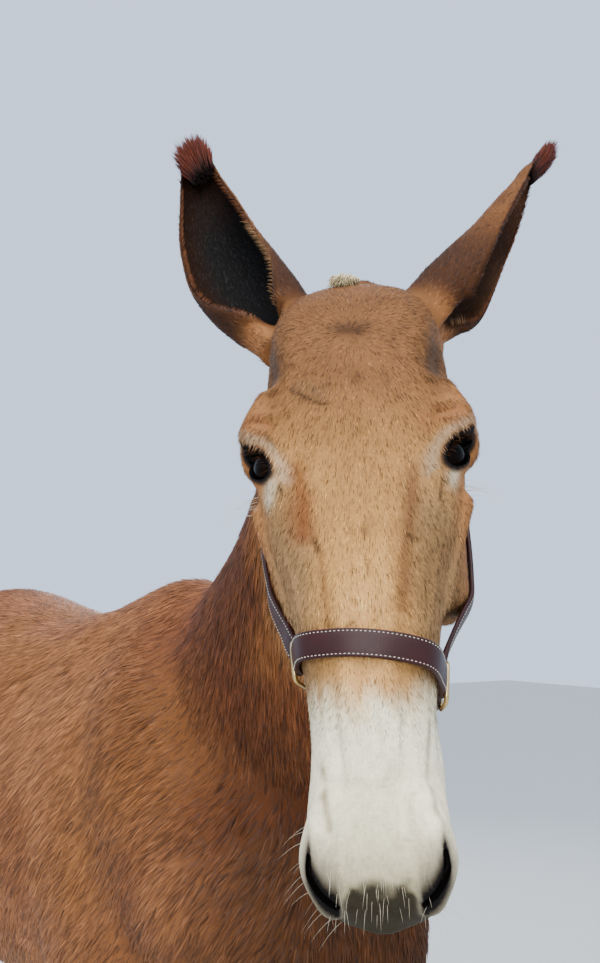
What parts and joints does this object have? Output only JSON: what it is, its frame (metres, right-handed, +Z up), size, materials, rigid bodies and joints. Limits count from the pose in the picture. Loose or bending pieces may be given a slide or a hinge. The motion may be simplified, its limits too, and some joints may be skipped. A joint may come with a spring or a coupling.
{
  "type": "mule",
  "caption": "Life-size saddle-type mule standing square, head turned to its right, long cupped ears, clipped mane, in a leather halter.",
  "frame": {"origin": "middle of the whole model's box, on the ground between the hooves", "axes": "+Z up, the body faces -Y, the animal's left side is at +X"},
  "size_m": [0.6586, 2.1254, 2.0496],
  "materials": {
    "coat": "short sorrel hair, paler on the muzzle",
    "eye": "wet and nearly black",
    "hoof": "dull grey-brown horn",
    "strap": "dark brown, oiled, with pale stitching",
    "fitting": "worn and pale"
  },
  "bodies": {
    "root": {"torso": "coat", "neck": "coat", "head": "coat", "ear_left": "coat", "ear_right": "coat", "leg_fore_left": "coat", "leg_fore_right": "coat", "leg_hind_left": "coat", "leg_hind_right": "coat", "tail": "coat", "eye_left": "eye", "eye_right": "eye", "hoof_fore_left": "hoof", "hoof_fore_right": "hoof", "hoof_hind_left": "hoof", "hoof_hind_right": "hoof", "halter_noseband": "strap", "halter_cheek_left": "strap", "halter_cheek_right": "strap", "halter_crown": "strap", "halter_chin_left": "strap", "halter_chin_right": "strap", "halter_jaw_strap": "strap", "halter_throat_latch": "strap", "halter_ring_left": "fitting", "halter_ring_right": "fitting", "halter_ring_chin": "fitting", "halter_buckle_left": "fitting", "halter_buckle_right": "fitting"}
  },
  "joints": []
}
